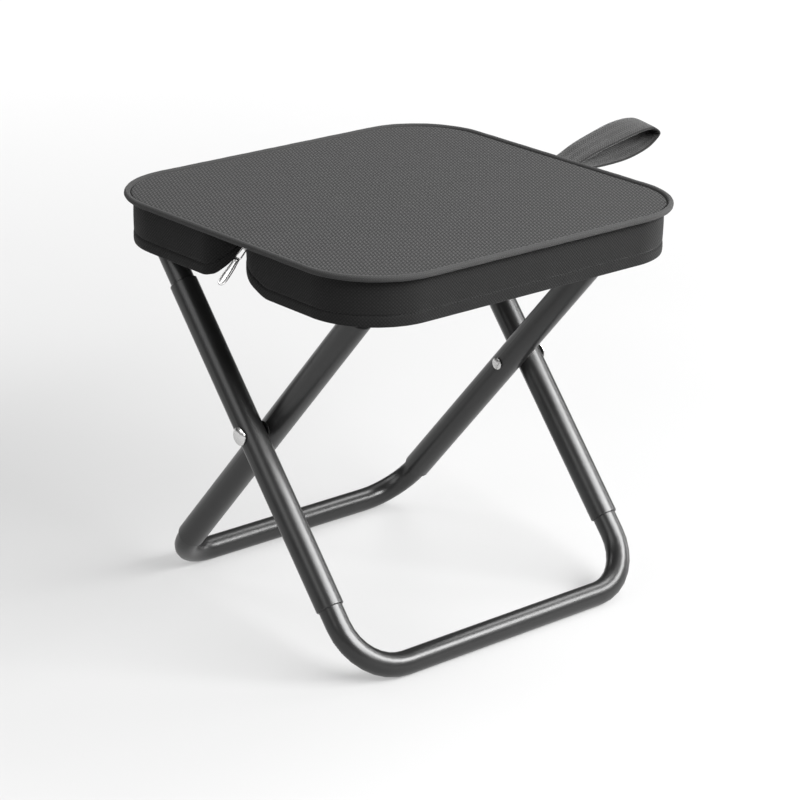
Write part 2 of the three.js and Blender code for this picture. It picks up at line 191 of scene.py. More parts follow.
def softbox(name, place, width, height, power):
    """A rectangular area light that faces the stool."""
    light = bpy.data.lights.new(name, "AREA")
    light.shape = "RECTANGLE"
    light.size = width
    light.size_y = height
    light.energy = power
    lamp = bpy.data.objects.new(name, light)
    lamp.location = place
    lamp.rotation_euler = (LIGHT_TARGET - place).to_track_quat("-Z", "Y").to_euler()
    bpy.context.scene.collection.objects.link(lamp)


# ------------------------------------------------------------------ materials
class Surface:
    """A Principled material and short calls for the nodes that feed it.

    Its roughness is a plain value, which most materials then replace by a varied one."""

    def __init__(self, name, roughness, metallic=0.0, specular=0.38):
        self.material = bpy.data.materials.new(name)
        self.material.use_nodes = True
        self.tree = self.material.node_tree
        self.shader = self.tree.nodes["Principled BSDF"]
        self.set("Roughness", roughness)
        self.set("Metallic", metallic)
        self.set("Specular IOR Level", specular)

    def set(self, socket, value):
        self.shader.inputs[socket].default_value = value

    def node(self, kind, **settings):
        made = self.tree.nodes.new(kind)
        for key, value in settings.items():
            setattr(made, key, value)
        return made

    def feed(self, socket, value):
        if isinstance(value, bpy.types.NodeSocket):
            self.tree.links.new(value, socket)
        else:
            socket.default_value = value

    def math(self, operation, first, second=0.0, third=0.0):
        made = self.node("ShaderNodeMath", operation=operation)
        for socket, value in zip(made.inputs, (first, second, third)):
            self.feed(socket, value)
        return made.outputs[0]

    def ramp(self, factor, low, high):
        """A mix of two colours, by a factor from 0 to 1."""
        made = self.node("ShaderNodeMix", data_type="RGBA")
        self.feed(made.inputs["Factor"], factor)
        self.feed(made.inputs["A"], (*low, 1))
        self.feed(made.inputs["B"], (*high, 1))
        return made.outputs["Result"]

    def fade(self, value, source, target):
        """A smooth change from the first to the last of target, as a value crosses the source range."""
        made = self.node("ShaderNodeMapRange", interpolation_type="SMOOTHSTEP")
        self.feed(made.inputs["Value"], value)
        for socket, limit in zip(("From Min", "From Max", "To Min", "To Max"), (*source, *target)):
            self.feed(made.inputs[socket], limit)
        return made.outputs["Result"]

    def about_one(self, factor, amount):
        """A factor from 0 to 1 turned into a shade about 1, that changes by the amount in all."""
        return self.math("MULTIPLY_ADD", factor, amount, 1 - amount / 2)

    def place_on_sheet(self):
        """Where a point is on the flat sheet, in metres."""
        return self.node("ShaderNodeUVMap", uv_map="sheet").outputs["UV"]

    def place_in_frame(self):
        """Where a point is in the frame, in metres."""
        return self.node("ShaderNodeTexCoord").outputs["Object"]

    def noise(self, place, size, detail=3.0):
        """Noise from 0 to 1 whose patches are about as large as size."""
        made = self.node("ShaderNodeTexNoise")
        self.feed(made.inputs["Vector"], place)
        self.feed(made.inputs["Scale"], 1 / size)
        self.feed(made.inputs["Detail"], detail)
        return made.outputs["Fac"]

    def bump(self, height, depth, strength=1.0):
        """Relief from a height of 0 to 1, as deep as depth."""
        made = self.node("ShaderNodeBump")
        self.feed(made.inputs["Height"], height)
        self.feed(made.inputs["Distance"], depth)
        self.feed(made.inputs["Strength"], strength)
        self.tree.links.new(made.outputs["Normal"], self.shader.inputs["Normal"])

    def colour(self, value):
        self.feed(self.shader.inputs["Base Color"], value)

    def roughness(self, value):
        self.feed(self.shader.inputs["Roughness"], value)


def grey(value, warmth=0.0):
    """A grey colour, with a little more red and less blue if it is warm."""
    return (value * (1 + warmth), value, value * (1 - warmth))


def floor_material():
    """A pale floor with a light of its own, which is weaker round the stool so that shadows show."""
    look = Surface("pale_floor", 0.85, specular=0.1)
    patches = look.noise(look.place_in_frame(), 0.5)
    look.colour(look.ramp(patches, *(grey(shade) for shade in FLOOR_GREYS)))
    look.set("Emission Color", (1, 1, 1, 1))
    distance = look.node("ShaderNodeVectorMath", operation="LENGTH")
    look.feed(distance.inputs[0], look.place_in_frame())
    glow = look.fade(distance.outputs["Value"], GLOW_RANGE, GLOW_LEVELS)
    look.feed(look.shader.inputs["Emission Strength"], glow)
    return look.material


def thread_count(look, place, pitch, direction):
    """How many threads lie between the origin and a place, for threads that lie across a direction."""
    angle = math.radians(direction)
    made = look.node("ShaderNodeVectorMath", operation="DOT_PRODUCT")
    look.feed(made.inputs[0], place)
    made.inputs[1].default_value = (math.cos(angle) / pitch, math.sin(angle) / pitch, 0)
    return made.outputs["Value"]


def thread_swell(look, count):
    """How far a thread bulges at a place: 0 at its edges and 1 along its middle."""
    return look.math("SINE", look.math("MULTIPLY", look.math("FRACT", count), math.pi))


def weave_height(look, place, pitch, lean):
    """Height of a weave from 0 to 1, and which thread is on top at each crossing.

    lean is the pair of directions that the two sets of threads are counted along."""
    broad, narrow = 0.5, 1.3  # a thread on top is full over its width and tapers along its length
    across = thread_count(look, place, pitch, lean[0])
    along = thread_count(look, place, pitch, lean[1])
    crossing = look.math("ADD", look.math("FLOOR", across), look.math("FLOOR", along))
    on_top = look.math("FLOORED_MODULO", crossing, 2.0)
    swell_across, swell_along = thread_swell(look, across), thread_swell(look, along)
    warp = look.math(
        "MULTIPLY", look.math("POWER", swell_across, broad), look.math("POWER", swell_along, narrow)
    )
    weft = look.math(
        "MULTIPLY", look.math("POWER", swell_across, narrow), look.math("POWER", swell_along, broad)
    )
    mixed = look.node("ShaderNodeMix", data_type="FLOAT")
    look.feed(mixed.inputs["Factor"], on_top)
    look.feed(mixed.inputs["A"], warp)
    look.feed(mixed.inputs["B"], weft)
    return mixed.outputs["Result"], on_top


def fabric(name, shade, pitch, depth, contrast=0.8, sheen=0.06, lean=(0, 90), two_tone=0.2):
    """Woven cloth: threads over and under each other, uneven threads, and soft patches of shade.

    shade is the mean grey, pitch the thread spacing, depth the weave's relief, contrast the depth
    of shade between threads, and two_tone how much lighter one set of threads is than the other."""
    look = Surface(name, 0.9, specular=0.2)
    look.set("Sheen Weight", sheen)
    look.set("Sheen Roughness", 0.45)
    place = look.place_on_sheet()
    height, on_top = weave_height(look, place, pitch, lean)
    fibres = look.noise(place, 0.5 * MM, 2.0)
    patches = look.noise(place, 45 * MM, 4.0)
    mean_height, fibre_shade, patch_shade = 0.62, 0.5, 0.16
    light = look.math("MULTIPLY_ADD", height, contrast, 1 - mean_height * contrast)
    for factor, amount in ((on_top, two_tone), (fibres, fibre_shade), (patches, patch_shade)):
        light = look.math("MULTIPLY", light, look.about_one(factor, amount))
    look.colour(look.ramp(look.math("MULTIPLY", light, 0.5), grey(0.0), grey(shade * 2, 0.004)))
    look.roughness(look.math("MULTIPLY_ADD", fibres, 0.16, 0.8))
    look.bump(look.math("MULTIPLY_ADD", fibres, 0.35, height), depth)
    return look.material


def webbing(name, shade, rib, depth):
    """Strap webbing: chevron ribs in rows along the strap, painted shade in the grooves between the ribs,
    and painted shade darkening both edges.
    """
    look = Surface(name, 0.85, specular=0.3)
    look.set("Sheen Weight", 0.15)
    look.set("Sheen Roughness", 0.4)
    place = look.place_on_sheet()
    split = look.node("ShaderNodeSeparateXYZ")
    look.feed(split.inputs[0], place)
    across = look.math("DIVIDE", split.outputs["Y"], rib)
    along = look.math("DIVIDE", split.outputs["X"], rib)
    zigzag = look.math("PINGPONG", across, 2.0)
    twill = look.math("SINE", look.math("MULTIPLY", look.math("ADD", along, zigzag), 2 * math.pi))
    column = look.math("ABSOLUTE", look.math("SINE", look.math("MULTIPLY", across, math.pi)))
    ribs = look.math("POWER", column, 0.4)
    height = look.math("MULTIPLY", look.math("MULTIPLY_ADD", twill, 0.3, 0.7), ribs)
    fibres = look.noise(place, rib * 0.3, 2.0)
    # painted shade: the grooves between the ribs are darker in colour
    shade_of_rib = look.math("MULTIPLY_ADD", height, 1.6, -0.2)
    light = look.math("MULTIPLY", shade_of_rib, look.math("ADD", fibres, 0.5))
    from_middle = look.math("ABSOLUTE", split.outputs["Y"])
    # painted shade: the colour darkens towards both edges of the strap, where its edge would fall into
    # shade
    edge_painted_shade = look.fade(from_middle, EDGE_SHADE_BAND, (1.0, 0.35))
    light = look.math("MULTIPLY", light, edge_painted_shade)
    look.colour(look.ramp(look.math("MULTIPLY", light, 0.5), grey(0.0), grey(shade * 2.4, 0.01)))
    look.roughness(look.math("MULTIPLY_ADD", fibres, 0.2, 0.72))
    look.bump(height, depth)
    return look.material


def powder_coat():
    """Satin black powder coat with a fine orange peel and faint rubbed patches."""
    look = Surface("powder_coat", 0.3, specular=0.5)
    place = look.place_in_frame()
    peel = look.noise(place, 0.9 * MM, 2.0)
    rubbed = look.noise(place, 22 * MM, 5.0)
    look.colour(look.ramp(rubbed, grey(0.009), grey(0.014)))
    look.roughness(look.math("MULTIPLY_ADD", rubbed, 0.12, 0.26))
    look.bump(peel, 0.02 * MM, 0.6)
    return look.material


def bright_metal(name, shade, roughness):
    """Plated steel with fine scratches and slightly dull patches."""
    look = Surface(name, roughness, metallic=1.0)
    place = look.place_in_frame()
    haze = look.noise(place, 3 * MM, 4.0)
    scratches = look.noise(place, 0.25 * MM, 1.0)
    look.colour(look.ramp(haze, grey(shade * 0.94, 0.006), grey(shade, 0.006)))
    look.roughness(look.math("MULTIPLY_ADD", haze, 0.12, roughness))
    look.bump(scratches, 0.006 * MM, 0.4)
    return look.material


def moulded(name, shade, roughness):
    """Moulded plastic with a fine spark-eroded grain."""
    look = Surface(name, roughness, specular=0.4)
    place = look.place_in_frame()
    grain = look.noise(place, 0.5 * MM, 3.0)
    cloud = look.noise(place, 12 * MM, 3.0)
    look.colour(look.ramp(cloud, grey(shade * 0.85), grey(shade * 1.15)))
    look.roughness(look.math("MULTIPLY_ADD", grain, 0.2, roughness - 0.1))
    look.bump(grain, 0.04 * MM, 0.5)
    return look.material


# painted shade band along both edges of the strap
EDGE_SHADE_BAND = (12.6 * MM, 13.6 * MM)  # from the strap's middle line, where its edge darkens
LOZENGE = (-24, -62)  # the seat cloth's threads cross in long diamonds along the seat's diagonal
BIAS = (45, 135)  # directions of the threads of cloth that is cut on the bias
LOOKS = {
    "cover_fabric": fabric(
        "cover_fabric", 0.0205, 2.8 * MM, 0.3 * MM, lean=LOZENGE, contrast=1.8, two_tone=0.3
    ),
    "skirt_fabric": fabric("skirt_fabric", 0.0068, 1.9 * MM, 0.2 * MM, lean=BIAS, contrast=1.5),
    "lining_fabric": fabric("lining_fabric", 0.024, 1.2 * MM, 0.12 * MM, contrast=1.2),
    "piping": fabric("piping", 0.031, 1.3 * MM, 0.12 * MM, lean=BIAS, contrast=0.5),
    "zipper_tape": fabric("zipper_tape", 0.014, 0.7 * MM, 0.06 * MM),
    "webbing": webbing("webbing", 0.0205, 2.3 * MM, 0.3 * MM),
    "powder_coat": powder_coat(),
    "bright_steel": bright_metal("bright_steel", 0.66, 0.2),
    "zipper_metal": bright_metal("zipper_metal", 0.62, 0.18),
    "board": moulded("board", 0.02, 0.55),
    "nylon": moulded("nylon", 0.012, 0.4),
    "thread": moulded("thread", 0.014, 0.75),
}


# ------------------------------------------------------------------ mesh helpers
def new_piece(name, points, faces, look, uv=None):
    """An object from points and faces; uv is one (u, v) in metres for each point."""
    mesh = bpy.data.meshes.new(name)
    mesh.from_pydata([tuple(p) for p in points], [], faces)
    mesh.polygons.foreach_set("use_smooth", [True] * len(mesh.polygons))
    if uv is not None:
        layer = mesh.uv_layers.new(name="sheet")
        corner_points = np.zeros(len(mesh.loops), int)
        mesh.loops.foreach_get("vertex_index", corner_points)
        layer.data.foreach_set("uv", np.array(uv, float)[corner_points].ravel())
    mesh.materials.append(LOOKS[look])
    mesh.validate()
    piece = bpy.data.objects.new(name, mesh)
    bpy.context.scene.collection.objects.link(piece)
    return piece


def grid_faces(rows, columns, wrap_rows=False):
    """Quads between neighbouring points of a grid that is stored row by row."""
    faces = []
    for row in range(rows if wrap_rows else rows - 1):
        after = (row + 1) % rows
        for column in range(columns - 1):
            a, b = row * columns + column, after * columns + column
            faces.append((a, a + 1, b + 1, b))
    return faces


def capped_tube_faces(first, rings, sides):
    """Quads and end caps of a tube whose rings are stored one after another from point first on."""
    faces = []
    for ring in range(rings - 1):
        for side in range(sides):
            a = first + ring * sides + side
            b = first + ring * sides + (side + 1) % sides
            faces.append((a, b, b + sides, a + sides))
    faces.append([first + side for side in reversed(range(sides))])
    faces.append([first + (rings - 1) * sides + side for side in range(sides)])
    return faces


def grid_uv(u, v, shape):
    """One (u, v) for each point of a grid; u and v may be one value for each row or column."""
    return np.stack([np.broadcast_to(u, shape), np.broadcast_to(v, shape)], -1).reshape(-1, 2)


def along_track(where, along, track):
    """The point of a track, or of its normals, at a distance along it."""
    return np.array([np.interp(where, along, track[:, axis]) for axis in range(track.shape[1])])


def turned_half(points):
    """The same points on the front half of the seat: half a turn about the seat's middle."""
    moved = np.array(points, float)
    moved[..., 0] = 2 * CENTRE_X - moved[..., 0]
    moved[..., 1] = -moved[..., 1]
    return moved


def thicken(piece, thickness, offset=-1.0):
    """Gives a surface a thickness: behind its face for an offset of -1, in front of it for 1."""
    solidify = piece.modifiers.new("thickness", "SOLIDIFY")
    solidify.thickness = thickness
    solidify.offset = offset
    return piece


def smoothstep(value, low, high):
    """A smooth change from 0 to 1 as a value goes from low to high."""
    share = np.clip((value - low) / (high - low), 0, 1)
    return share * share * (3 - 2 * share)


def plan_line(arcs, step):
    """Points, outward normals and distance along a line of arcs joined by straight stretches.

    Each arc is (centre x, centre y, radius, start, end) with angles in degrees, and an arc of no
    radius is a plain corner with its start angle as the normal's direction."""
    points, normals = [], []
    for centre_x, centre_y, radius, start, end in arcs:
        count = max(1, math.ceil(radius * math.radians(abs(end - start)) / step)) if radius else 0
        angles = np.radians(np.linspace(start, end, count + 1))
        normal = np.stack([np.cos(angles), np.sin(angles)], 1)
        point = np.array([centre_x, centre_y]) + radius * normal
        if points:
            gap = np.linalg.norm(point[0] - points[-1][-1])
            share = np.linspace(0, 1, max(1, math.ceil(gap / step)) + 1)[1:-1, None]
            points.append(points[-1][-1] + share * (point[0] - points[-1][-1]))
            normals.append(np.repeat(normal[:1], len(share), 0))
        points.append(point)
        normals.append(normal)
    points, normals = np.concatenate(points), np.concatenate(normals)
    steps = np.linalg.norm(np.diff(points, axis=0), axis=1)
    return points, normals, np.concatenate([[0], np.cumsum(steps)])


def rounded_half(half_width, half_depth, corner, fold_y):
    """Arcs of the rear half of a rounded square, from its right end at the fold to its left."""
    return [
        (half_width, fold_y, 0, 0, 0),
        (half_width - corner, half_depth - corner, corner, 0, 90),
        (corner - half_width, half_depth - corner, corner, 90, 180),
        (-half_width, fold_y, 0, 180, 180),
    ]


def edge_distance(x, y, half_width, half_depth, corner):
    """How far inside a rounded square each point is."""
    over_x = np.abs(x) - (half_width - corner)
    over_y = np.abs(y) - (half_depth - corner)
    outside = np.hypot(np.maximum(over_x, 0), np.maximum(over_y, 0))
    return corner - outside - np.minimum(np.maximum(over_x, over_y), 0)


def crisp_edges(piece, angle):
    """Keeps smooth shading from running round an edge sharper than the angle."""
    split = piece.modifiers.new("crisp_edges", "EDGE_SPLIT")
    split.split_angle = math.radians(angle)


def seat_piece(name, half, points, faces, look, uv):
    """A piece of one seat half; points are drawn for the rear half about the seat's middle."""
    placed = np.array(points, float).reshape(-1, 3) + np.array([CENTRE_X, 0, 0])
    if half == "front":
        placed = turned_half(placed)
    piece = new_piece(f"{name}_{half}", placed, faces, look, uv)
    return piece


def bends_at_fold(piece):
    """Bakes the piece's placement into its mesh; the piece is left unattached."""
    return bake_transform(piece)


def collapses(piece, half):
    """The piece follows its seat half and gets a mesh of its own."""
    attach(piece, f"seat_{half}")
    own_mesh(piece)


# ------------------------------------------------------------------ seat panels
def panel_grid(half_width, half_depth, corner, fold_y, fold_corner):
    """A grid over half of a rounded square, closest at its edges: x and y for each point."""
    straight = half_width - corner
    column_step, corner_columns, middle_rows = 4 * MM, 26, 25
    middle = np.linspace(0, straight, math.ceil(straight / column_step) + 1)
    round_end = straight + corner * np.sin(np.linspace(0, math.pi / 2, corner_columns + 1))[1:]
    columns = np.concatenate([middle, round_end])
    columns = np.concatenate([-columns[:0:-1], columns])
    in_corner = np.maximum(np.abs(columns) - straight, 0)
    outer = half_depth - corner + np.sqrt(np.maximum(corner**2 - in_corner**2, 0))
    inner = np.full_like(columns, fold_y)
    if fold_corner:
        in_fold = np.maximum(np.abs(columns) - (half_width - fold_corner), 0)
        inner = fold_y + fold_corner - np.sqrt(np.maximum(fold_corner**2 - in_fold**2, 0))
    near_fold = np.array([0, 1, 2, 3, 4.5, 6, 8, 10, 12, 14, 17, 20]) * MM
    near_edge = np.array([4.5, 3.4, 2.5, 1.8, 1.2, 0.7, 0.3, 0]) * MM
    share = np.linspace(0, 1, middle_rows + 1)[1:, None]
    start, end = inner + near_fold[-1], outer - near_edge[0]
    rows = [inner + step for step in near_fold]
    rows += list(start + share * (end - start))
    rows += [outer - step for step in near_edge[1:]]
    y = np.array(rows)
    return np.broadcast_to(columns, y.shape), y


def seat_cover(half):
    """The top panel: stretched cloth over thin foam, dipping into the groove by the piping."""
    crown_height, groove_width, groove_depth, ripple_height = 0.5 * MM, 2.4 * MM, 2.5 * MM, 0.05 * MM
    half_width, half_depth = PIPING_HALF_WIDTH - COVER_INSET, PIPING_HALF_DEPTH - COVER_INSET
    corner = SEAT_CORNER - COVER_INSET
    x, y = panel_grid(half_width, half_depth, corner, 0, 0)
    inside = edge_distance(x, y, half_width, half_depth, corner)
    crown = crown_height * (1 - (x / half_width) ** 2) * (1 - (y / half_depth) ** 2)
    share = np.clip(inside / groove_width, 0, 1)
    groove = groove_depth * (1 - np.sqrt(share * (2 - share)))
    ripple = ripple_height * np.sin(x / (31 * MM)) * np.sin(y / (23 * MM) + 1)
    z = COVER_TOP + crown - groove + ripple
    points = np.stack([x, y, z], -1)
    uv = grid_uv(x, y, x.shape)
    faces = grid_faces(*x.shape)
    piece = seat_piece("cover", half, points, faces, "cover_fabric", uv)
    bends_at_fold(piece)
    thicken(piece, 1.1 * MM)
    crisp_edges(piece, CRISP_CLOTH)
    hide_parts(f"seat_cover_{half}")


def piping(half):
    """Bias-cut cloth over a cord, sewn into the seam all round the seat."""
    sides, end_gap = 16, 0.05 * MM
    arcs = rounded_half(PIPING_HALF_WIDTH, PIPING_HALF_DEPTH, SEAT_CORNER, end_gap)
    line, normals, along = plan_line(arcs, EDGE_STEP)
    angles = np.linspace(0, 2 * math.pi, sides, endpoint=False)
    gathers = 0.02 * np.sin(along / (5.3 * MM)) + 0.012 * np.sin(along / (2.1 * MM) + 1)
    swell = PIPING_RADIUS * (1 + gathers)
    rows = []
    for angle in angles:
        flat = line + normals * (swell * math.cos(angle))[:, None]
        rows.append(np.column_stack([flat, PIPING_Z + swell * math.sin(angle)]))
    points = np.array(rows)
    count = len(line)
    faces = grid_faces(sides, count, wrap_rows=True)
    faces.append([side * count for side in range(sides)])
    faces.append([side * count + count - 1 for side in reversed(range(sides))])
    uv = grid_uv(along, (angles * PIPING_RADIUS)[:, None], (sides, count))
    piece = seat_piece("cord_piping", half, points, faces, "piping", uv)
    crisp_edges(piece, CRISP_CLOTH)
    bends_at_fold(piece)
    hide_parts(f"piping_{half}")


def lining(half):
    """The cloth under the stiffener board, slack enough to show a few soft folds."""
    x, y = panel_grid(LINING_HALF_WIDTH, LINING_HALF_DEPTH, LINING_CORNER, lining_low.y, FOLD_CORNER)
    folds = np.sin(x / (17 * MM) + 2.1 * np.sin(y / (29 * MM))) * np.sin(y / (37 * MM) + 0.4)
    inside = edge_distance(x, y, LINING_HALF_WIDTH, LINING_HALF_DEPTH, LINING_CORNER)
    slack = smoothstep(inside, 2 * MM, 14 * MM) * smoothstep(y, 8 * MM, 22 * MM)
    level, sag = lining_low.z + 0.25 * MM, 0.22 * MM
    z = level - sag * slack * (1 + folds)
    points = np.stack([x, y, z], -1)
    uv = grid_uv(x, y, x.shape)
    faces = [face[::-1] for face in grid_faces(*x.shape)]
    piece = seat_piece("under_lining", half, points, faces, "lining_fabric", uv)
    thicken(piece, 0.4 * MM)
    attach(piece, f"seat_{half}")
    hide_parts(f"lining_{half}")


# ------------------------------------------------------------------ skirt and its zipper
def skirt_arcs():
    """The skirt's line in plan, with a round lobe at each end turned in beside the fold line."""
    lobe_x, lobe_y = SKIRT_HALF_WIDTH - LOBE_RADIUS, LOBE_END + LOBE_RADIUS
    corner_x, corner_y = SKIRT_HALF_WIDTH - SKIRT_CORNER, SKIRT_HALF_DEPTH - SKIRT_CORNER
    return [
        (lobe_x, lobe_y, LOBE_RADIUS, -90, 0),
        (corner_x, corner_y, SKIRT_CORNER, 0, 90),
        (-corner_x, corner_y, SKIRT_CORNER, 90, 180),
        (-lobe_x, lobe_y, LOBE_RADIUS, 180, 270),
    ]


def skirt_edge(line, half):
    """Height of the skirt's lower edge: it climbs round each lobe as the wall turns inward."""
    turned_in = np.clip((SKIRT_HALF_WIDTH - np.abs(line[:, 0])) / LOBE_RADIUS, 0, 1)
    turned_in = turned_in * (line[:, 1] < LOBE_END + LOBE_RADIUS)
    rise_ends, rise_starts = 20 * MM, 47 * MM  # from the fold line
    early = EARLY_RISE[half] * smoothstep(-line[:, 1], -rise_starts, -rise_ends)
    return SKIRT_BOTTOM + np.minimum(LOBE_RISE * turned_in + early, LOBE_RISE)


def skirt_path(step, half):
    """Points, outward normals and distance along the skirt, and the height of its lower edge."""
    line, normals, along = plan_line(skirt_arcs(), step)
    return line, normals, along, skirt_edge(line, half)


def skirt_profile(edge):
    """Heights and outward offsets of the rows up the skirt, for each height of its lower edge.

    The rows go round the rolled hem, over the groove of the seam and up to the piping. Where the
    skirt is low, the rows of the hem and the seam are closer together."""
    low = np.array([0, 0.35, 1, 2, 3.4, 5, 6.4, 7.4, 8.1, 8.5, 8.9, 9.6, 10.6]) * MM
    low_out = np.array([-0.5, -0.1, 0.1, 0.2, 0.3, 0.3, 0.25, 0.1, -0.6, -1.3, -0.6, 0, 0.05]) * MM
    bulge, full_height, least_fit = 0.2 * MM, 22 * MM, 0.4
    rise = np.linspace(0, 1, 14)[1:]
    up_out = low_out[-1] + bulge * np.sin(math.pi * np.clip(rise * 1.15, 0, 1))
    fit = np.clip((SKIRT_TOP - edge) / full_height, least_fit, 1)
    base = edge[:, None] - HEM_DROP + low * fit[:, None]
    tall = SKIRT_TOP - base[:, -1:]
    heights = np.concatenate([base, base[:, -1:] + tall * rise], 1)
    offsets = np.broadcast_to(np.concatenate([low_out, up_out]), heights.shape)
    return heights, offsets


def skirt(half):
    """The side wall: a stiff padded band with a seam near its edge, sewn in under the piping."""
    flare_out, top_drop, flare_reach, pucker_out = 3.0 * MM, 0.9 * MM, 1.1 * MM, 0.14 * MM
    line, normals, along, edge = skirt_path(EDGE_STEP, half)
    heights, offsets = skirt_profile(edge)
    near_top = np.exp(-(SKIRT_TOP - heights) / flare_reach)
    away_from_fold = smoothstep(line[:, 1], 22 * MM, 40 * MM)[:, None]
    pucker = pucker_out * np.sin(along / (4.6 * MM)) * np.sin(along / (31 * MM) + 0.7)
    ripples = pucker[:, None] * np.exp(-((heights - heights[:, SEAM_ROW : SEAM_ROW + 1]) / (9 * MM)) ** 2)
    out = offsets + flare_out * near_top * away_from_fold + ripples
    heights = heights - top_drop * near_top
    flat = line[:, None, :] + normals[:, None, :] * out[..., None]
    points = np.concatenate([flat, heights[..., None]], -1)
    uv = grid_uv(along[:, None], heights, heights.shape)
    faces = grid_faces(*heights.shape)
    piece = seat_piece("side_wall", half, points, faces, "skirt_fabric", uv)
    thicken(piece, 1.3 * MM, offset=1.0)
    collapses(piece, half)
    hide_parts(f"skirt_{half}")


def seam_stitches(half):
    """Short thread stitches that lie in the groove of the skirt's seam."""
    pitch, length, radius, proud = 3.1 * MM, 2.2 * MM, 0.28 * MM, 0.15 * MM
    rings, sides = 5, 6
    line, normals, along, edge = skirt_path(0.4 * MM, half)
    heights, offsets = skirt_profile(edge)
    in_groove = line + normals * (offsets[:, SEAM_ROW] + proud)[:, None]
    track = np.column_stack([in_groove, heights[:, SEAM_ROW]])
    points, faces, uv = [], [], []
    for start in np.arange(pitch, along[-1] - pitch, pitch):
        faces += capped_tube_faces(len(points), rings, sides)
        for ring in range(rings):
            share = ring / (rings - 1)
            where = start + share * length
            centre = along_track(where, along, track)
            normal = np.append(along_track(where, along, normals), 0)
            size = radius * math.sin(math.pi * (0.12 + 0.76 * share)) ** 0.5
            for side in range(sides):
                angle = 2 * math.pi * side / sides
                upward = np.array([0, 0, size * math.sin(angle)])
                points.append(centre + normal * size * math.cos(angle) + upward)
                uv.append((where, angle * radius))
    piece = seat_piece("seam_stitches", half, points, faces, "thread", uv)
    collapses(piece, half)


def zipper_tape(half):
    """The woven tape of the zipper, turned in under the skirt's edge."""
    line, normals, along, edge = skirt_path(EDGE_STEP, half)
    inward = np.array([0.2, 0.6, 1.6, 3.2, 4.8, 6.2]) * MM
    drop = np.array([-1.2, -0.1, 0.55, 0.95, 1.15, 1.2]) * MM
    flat = line[:, None, :] - normals[:, None, :] * inward[None, :, None]
    height = edge[:, None] - drop
    points = np.concatenate([flat, height[..., None]], -1)
    uv = grid_uv(along[:, None], inward, height.shape)
    faces = grid_faces(*height.shape)
    piece = seat_piece("zip_tape", half, points, faces, "zipper_tape", uv)
    thicken(piece, 0.6 * MM, offset=0)
    collapses(piece, half)
    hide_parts(f"zipper_tape_{half}")


def zipper_coil(half):
    """The teeth along the tape's free edge: one bead for each turn of the nylon coil."""
    pitch, sides, below_edge, flatness = 1.5 * MM, 6, 1.25 * MM, 0.8
    bead = ((5.3, 0.35), (5.8, 0.62), (6.6, 0.68), (7.4, 0.6), (7.9, 0.3))  # mm inward, mm radius
    line, normals, along, edge = skirt_path(0.5 * MM, half)
    points, faces, uv = [], [], []
    for where in np.arange(pitch, along[-1] - pitch, pitch):
        faces += capped_tube_faces(len(points), len(bead), sides)
        spot = along_track(where, along, line)
        normal = along_track(where, along, normals)
        tangent = np.array([-normal[1], normal[0]])
        height = np.interp(where, along, edge) - below_edge
        for depth, size in bead:
            for side in range(sides):
                angle = 2 * math.pi * side / sides
                flat = spot - normal * depth * MM + tangent * flatness * size * MM * math.cos(angle)
                points.append((*flat, height + size * MM * math.sin(angle)))
                uv.append((where, depth * MM))
    piece = seat_piece("zip_coil", half, points, faces, "nylon", uv)
    collapses(piece, half)


# ------------------------------------------------------------------ sleeves and fold tape
def rail_sleeve(half):
    """A cloth tunnel round the seat rail, sewn to the lining by a flange on both sides."""
    low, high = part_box(f"rail_sleeve_{half}")
    rail_y, rail_z = (low.y + high.y) / 2, (low.z + high.z) / 2
    radius, flange, hem_swell, hem_reach = 10.3 * MM, 19 * MM, 0.35 * MM, 2 * MM
    top = lining_low.z - 0.55 * MM - rail_z
    lift = math.radians(22)
    turns = np.linspace(lift, -math.pi - lift, 30)
    wrap = [(radius * math.cos(turn), radius * math.sin(turn)) for turn in turns]
    sides = [(flange, top), (flange - 4 * MM, top), (flange - 6.4 * MM, top - 0.7 * MM)]
    section = np.array(sides + wrap + [(-y, z) for y, z in reversed(sides)])
    around = np.concatenate([[0], np.cumsum(np.linalg.norm(np.diff(section, axis=0), axis=1))])
    columns = np.linspace(low.x, high.x, 70)
    pull = 0.25 * MM * np.sin(columns / (9 * MM)) * np.sin(columns / (41 * MM) + 1)
    at_ends = sum(np.exp(-(distance / hem_reach) ** 2) for distance in (columns - low.x, high.x - columns))
    grown = 1 + (np.maximum(pull, 0) + hem_swell * at_ends)[None, :] / radius
    y = rail_y + section[:, :1] * np.where(np.abs(section[:, :1]) < radius * 1.01, grown, 1)
    z = rail_z + section[:, 1:] * np.where(section[:, 1:] < radius * 0.3, grown, 1)
    points = np.stack([np.broadcast_to(columns, y.shape), y, z], -1).reshape(-1, 3)
    uv = grid_uv(columns, around[:, None], y.shape)
    piece = new_piece(f"sleeve_{half}", points, grid_faces(*y.shape), "lining_fabric", uv)
    thicken(piece, 0.5 * MM, offset=0)
    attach(piece, f"seat_{half}")
    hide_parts(f"rail_sleeve_{half}")


def fold_tape():
    """The narrow binding under the fold line, with rolled edges and a rib along its middle."""
    across = np.linspace(-1, 1, 11)
    columns = np.linspace(binding_low.x, binding_high.x, 120)
    half_width = (binding_high.y - binding_low.y) / 2
    sag = 0.12 * MM * np.sin(columns / (13 * MM))
    y = np.broadcast_to(across[:, None] * half_width, (len(across), len(columns)))
    z = binding_high.z - 0.5 * MM + sag - 0.25 * MM * np.cos(across[:, None] * math.pi)
    points = np.stack([np.broadcast_to(columns, y.shape), y, z], -1).reshape(-1, 3)
    uv = grid_uv(columns, y, y.shape)
    piece = new_piece("fold_tape", points, grid_faces(*y.shape), "webbing", uv)
    thicken(piece, 0.7 * MM, offset=0)
    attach(piece, "seat_spine")
    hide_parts("fold_binding")


